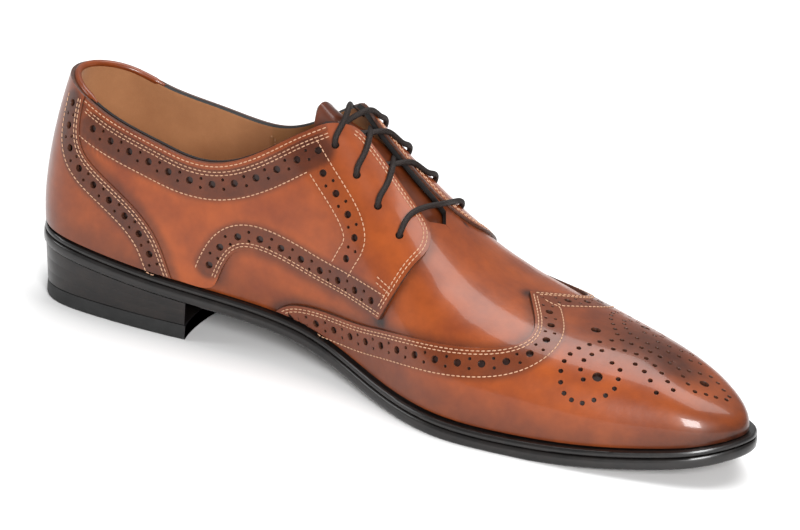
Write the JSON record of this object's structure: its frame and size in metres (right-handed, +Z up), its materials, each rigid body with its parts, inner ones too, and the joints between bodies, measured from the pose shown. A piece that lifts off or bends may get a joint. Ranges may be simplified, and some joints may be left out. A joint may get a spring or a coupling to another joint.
{
  "type": "dress shoe",
  "caption": "Left full brogue derby shoe with a winged toe cap, curved quarters over the vamp, open lacing, a heel counter and a stacked heel.",
  "frame": {"origin": "the centre of the shoe's footprint, on the floor under its heel and ball", "axes": "+X from the heel to the toe, +Y to the lateral side, which is the wearer's left, and +Z up"},
  "size_m": [0.3053, 0.1052, 0.1083],
  "materials": {
    "upper": "burnished glossy calf, tan with a darker patina",
    "overlay": "burnished glossy calf, darker at its edges",
    "lining": "matt tan lining leather",
    "sole": "black edge finish, waxed",
    "heel": "stacked layers with a black edge finish",
    "top_piece": "matt black rubber",
    "lace": "thin round waxed cord"
  },
  "bodies": {
    "root": {"outsole": "sole", "welt": "sole", "heel_stack": "heel", "heel_top_piece": "top_piece", "insole": "lining", "upper": "upper", "tongue": "upper", "quarter_medial": "overlay", "quarter_lateral": "overlay", "heel_counter": "overlay", "wing_cap": "overlay", "lace_row_1": "lace", "lace_row_2": "lace", "lace_row_3": "lace", "lace_row_4": "lace"}
  },
  "joints": []
}
